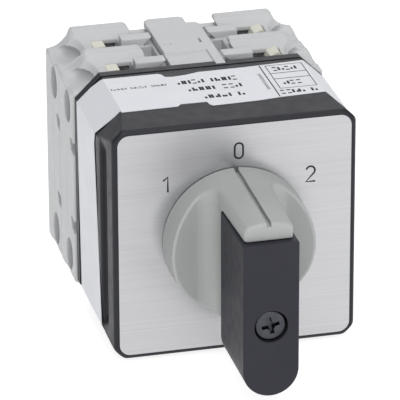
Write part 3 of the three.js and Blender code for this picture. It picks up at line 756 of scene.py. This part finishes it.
# ---- look of the parts that keep their CAD shape ----
CAD_LOOKS = {
    "face_plate": PLATE,
    "mechanism_housing": BLACK,
    "back_plate": BLACK,
    "rating_label": FILM,
    "bridge_cover": DECK_GREY,
    "index_wheel": CREAM,
    "cam": CREAM,
    "carrier": CREAM,
    "bridge": BRASS,
    "strip": BRASS,
}


def look_of(node):
    """The look with the longest key that the node's name starts with, or plain steel."""
    matches = [key for key in CAD_LOOKS if node.startswith(key)]
    return CAD_LOOKS[max(matches, key=len)] if matches else STEEL


def dress_cad_nodes():
    for name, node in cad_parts.items():
        node.data.materials.clear()
        node.data.materials.append(look_of(name))


# ---- label ----
LABEL_SKIN = 0.12
LABEL_STAND_OFF = 0.08     # so that the sheet lies over the bezel's edge where it laps it
FRONT_EDGE = (
    (-25.6, -1.5), (-11.6, -1.2), (-10.6, 0.05), (-4.1, -0.1), (-3.8, -1.9), (-3.1, -2.7), (8.4, -2.3),
    (14, -1.6), (25.6, -1.0),
)
REAR_EDGE = (
    (-25.6, 20.3), (-11.6, 20.3), (-10.8, 19.6), (-10.3, 17.9), (-8.4, 17.5), (-4.9, 18.0), (-1.5, 19.0),
    (10, 19.2), (25.6, 20.2),
)


def build_label():
    """A film wrapped over the top and both sides of the housing."""
    flat_x, flat_z = BODY_X - CHAMFER, BODY_Z - CHAMFER
    wide = BODY_X + LABEL_STAND_OFF
    side = [(-wide, LABEL_LOW[2], -2.8, 19.6), (-wide, 18, 2.4, 22.0), (-wide, 22, 2.8, 22.2)]
    side += [(-wide, flat_z, 1.9, 22.2), (-flat_x - 2.7, BODY_Z - 2.7, 0.5, 22.1)]
    side.append((-flat_x - 0.6, BODY_Z - 0.6, -0.3, 21.0))
    stops = sorted({x for x, _ in FRONT_EDGE + REAR_EDGE})
    front = np.interp(stops, *zip(*FRONT_EDGE))
    rear = np.interp(stops, *zip(*REAR_EDGE))
    top = [(x, BODY_Z, a, b) for x, a, b in zip(stops, front, rear)]
    columns = side + top + [(-x, z, a, b) for x, z, a, b in reversed(side)]
    points = [(x * MM, y * MM, z * MM) for x, z, a, b in columns for y in np.linspace(a, b, 5)]
    rows = itertools.product(range(len(columns) - 1), range(4))
    quads = [(5 * i + j, 5 * i + j + 5, 5 * i + j + 6, 5 * i + j + 1) for i, j in rows]
    mesh = bpy.data.meshes.new("label_film")
    mesh.from_pydata(points, [], quads)
    label = bpy.data.objects.new("label_film", mesh)
    bpy.context.scene.collection.objects.link(label)
    label.modifiers.new("thickness", "SOLIDIFY").thickness = LABEL_SKIN * MM
    finish_piece(label, FILM, "frame", "label_sheet", "rating_label")


# ---- printing ----
def printed(name, lines, width, place):
    """Lines of ink through points (across, up), laid on a fixed surface by the matrix place."""
    curve = bpy.data.curves.new(name, "CURVE")
    curve.dimensions = "3D"
    curve.bevel_depth = width / 2 * MM
    curve.bevel_resolution = 2
    curve.use_fill_caps = True
    for points in lines:
        closed = points[0] == points[-1]
        points = points[:-1] if closed else points
        line = curve.splines.new("POLY")
        line.points.add(len(points) - 1)
        for point, (a, b) in zip(line.points, points):
            point.co = (a * MM, b * MM, 0, 1)
        line.use_cyclic_u = closed
    made = bpy.data.objects.new(name, curve)
    bpy.context.scene.collection.objects.link(made)
    made.matrix_world = place @ Matrix.Diagonal((1, 1, 2 * LAYER / width, 1))
    curve.materials.append(INK)
    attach(made, "frame")


def arc(x, z, rx, rz, start, end, steps=12):
    angles = [math.radians(start + (end - start) * k / steps) for k in range(steps + 1)]
    return [(x + rx * math.cos(a), z + rz * math.sin(a)) for a in angles]


DIGIT_HEIGHT = 4.0
DIGIT_LINE = 0.48
ON_PLATE = Matrix.Translation((0, PLATE_FRONT * MM, 0)) @ Matrix.Rotation(math.pi / 2, 4, "X")


def build_digits():
    h = DIGIT_HEIGHT / 2
    zero = arc(0, h - 1.05, 1.05, 1.05, 0, 180) + arc(0, -h + 1.05, 1.05, 1.05, 180, 360)
    zero.append(zero[0])
    two = arc(0, h - 1.1, 1.1, 1.1, 165, -35) + [(-1.15, -h), (1.2, -h)]
    shapes = {
        "0": ((0.9, 22.6), zero),
        "1": ((-17.1, 15.5), [(-0.95, h - 0.95), (0.2, h), (0.2, -h)]),
        "2": ((19.0, 14.5), two),
    }
    for digit, ((x, z), points) in shapes.items():
        moved = [(x + a, z + b) for a, b in points]
        printed(f"digit_{digit}", [moved], DIGIT_LINE, ON_PLATE)


# ---- generic print of the label ----
ON_LABEL = Matrix.Translation((0, 0, (BODY_Z + 0.01) * MM))


def ticks(start, end, y, height, pitch, rng):
    """A row of plain uprights and bars, none of them a letter, where a line of text would stand."""
    lines = []
    low, high = y - height / 2, y + height / 2
    for k, x in enumerate(np.arange(start, end - 0.6 * pitch, pitch)):
        far = x + 0.62 * pitch
        shapes = (
            [[(x, low), (x, high)], [(far, low), (far, high)]],
            [[(x, low), (far, low)], [(x, high), (far, high)]],
            [[(x, low), (x, high)], [(far, low), (far, y)]],
            [[(x, low), (x, y)], [(far, low), (far, high)]],
        )
        if k % 5 != 4:
            lines += shapes[rng.integers(0, 4)]
    return lines


def build_label_print():
    rng = np.random.default_rng(7)
    left, right, front, rear = 15.5, 24.8, 3.6, 18.6
    rules = [[(14.1, -1.3), (14.1, 19.1)]]
    rules.append([(left, front), (right, front), (right, rear), (left, rear), (left, front)])
    rules += [[(left, y), (right, y)] for y in (9.8, 13.4)]
    printed("label_rules", rules, 0.30, ON_LABEL)
    rows = ticks(-3.6, 7.0, 3.0, 2.1, 1.7, rng) + ticks(-6.4, 7.2, 8.4, 2.1, 1.7, rng)
    rows += ticks(-8.0, 8.3, 13.2, 2.1, 1.7, rng)
    rows += ticks(17.4, 22.9, 7.0, 1.9, 1.6, rng) + ticks(16.8, 23.6, 16.1, 1.9, 1.6, rng)
    rows += ticks(15.0, 25.2, 1.3, 1.9, 1.6, rng)
    printed("label_rows", rows, 0.60, ON_LABEL)
    small = ticks(-25.0, -10.2, 12.9, 0.95, 1.0, rng)
    small += [[(12.3, y), (13.1, y)] for y in np.arange(4.0, 14.4, 0.75)]
    printed("label_small_rows", small, 0.30, ON_LABEL)


# ---- stage, light and camera ----
AZIMUTH, ELEVATION, ROLL = -13.905, 24.093, -0.215
DISTANCE = 974.88
ASIDE, RAISED = -8.643, 8.747
LENS = 358.155


def build_camera():
    """A long lens aimed near the plate's centre, moved a little aside and up."""
    azimuth, elevation = math.radians(AZIMUTH), math.radians(ELEVATION)
    back = Vector((
        math.sin(azimuth) * math.cos(elevation),
        -math.cos(azimuth) * math.cos(elevation),
        math.sin(elevation),
    ))
    level = Vector((math.cos(azimuth), math.sin(azimuth), 0))
    turned = Matrix.Rotation(math.radians(ROLL), 3, back)
    right = turned @ level
    up = back.cross(right)
    camera = bpy.data.objects.new("camera", bpy.data.cameras.new("camera"))
    camera.data.lens = LENS
    camera.data.sensor_width = 36
    camera.data.clip_start, camera.data.clip_end = 0.05, 20
    target = Vector((0, PLATE_FRONT, 0))
    place = target + back * DISTANCE + right * ASIDE + up * RAISED
    camera.matrix_world = Matrix.Translation(place * MM) @ Matrix((right, up, back)).transposed().to_4x4()
    bpy.context.scene.collection.objects.link(camera)
    bpy.context.scene.camera = camera


def build_floor():
    bm = bmesh.new()
    bmesh.ops.create_grid(bm, x_segments=8, y_segments=8, size=3.0)
    mesh = bpy.data.meshes.new("floor")
    bm.to_mesh(mesh)
    bm.free()
    floor = bpy.data.objects.new("floor", mesh)
    floor.location.z = CAD_LOW.z - 0.0002
    bpy.context.scene.collection.objects.link(floor)
    shade = Shade("floor", Roughness=0.9, Emission_Color=(1, 1, 1, 1), Emission_Strength=0.84)
    shade.set(Base_Color=shade.tint(shade.noise(0.002, 2.0), (0.42, 0.42, 0.42), (0.46, 0.46, 0.46)))
    mesh.materials.append(shade.material)


def softbox(name, place, size, power):
    """A rectangular lamp that faces the middle of the object."""
    light = bpy.data.lights.new(name, "AREA")
    light.shape = "RECTANGLE"
    light.size, light.size_y = size
    light.energy = power
    lamp = bpy.data.objects.new(name, light)
    lamp.location = place
    lamp.rotation_euler = (Vector((0, 0.01, 0)) - lamp.location).to_track_quat("-Z", "Y").to_euler()
    bpy.context.scene.collection.objects.link(lamp)


def build_light():
    scene = bpy.context.scene
    world = bpy.data.worlds.new("studio")
    world.use_nodes = True
    background = world.node_tree.nodes["Background"]
    background.inputs["Color"].default_value = (0.97, 0.98, 1.0, 1)
    background.inputs["Strength"].default_value = 0.38
    scene.world = world
    softbox("key", (-0.10, -0.65, 0.75), (0.6, 0.6), 3.8)
    softbox("top", (0.1, 0.05, 0.9), (0.6, 0.6), 2.4)
    softbox("front", (0.05, -1.0, 0.25), (0.8, 0.3), 2.4)
    softbox("rear", (0.25, 0.95, 0.50), (1.0, 0.5), 1.7)
    scene.view_settings.view_transform = "Standard"


build_camera()
build_floor()
build_light()
dress_cad_nodes()
build_knob()
build_lever()
build_screws()
build_springs()
build_bezel()
build_decks()
build_covers()
build_flaps()
build_label()
build_digits()
build_label_print()
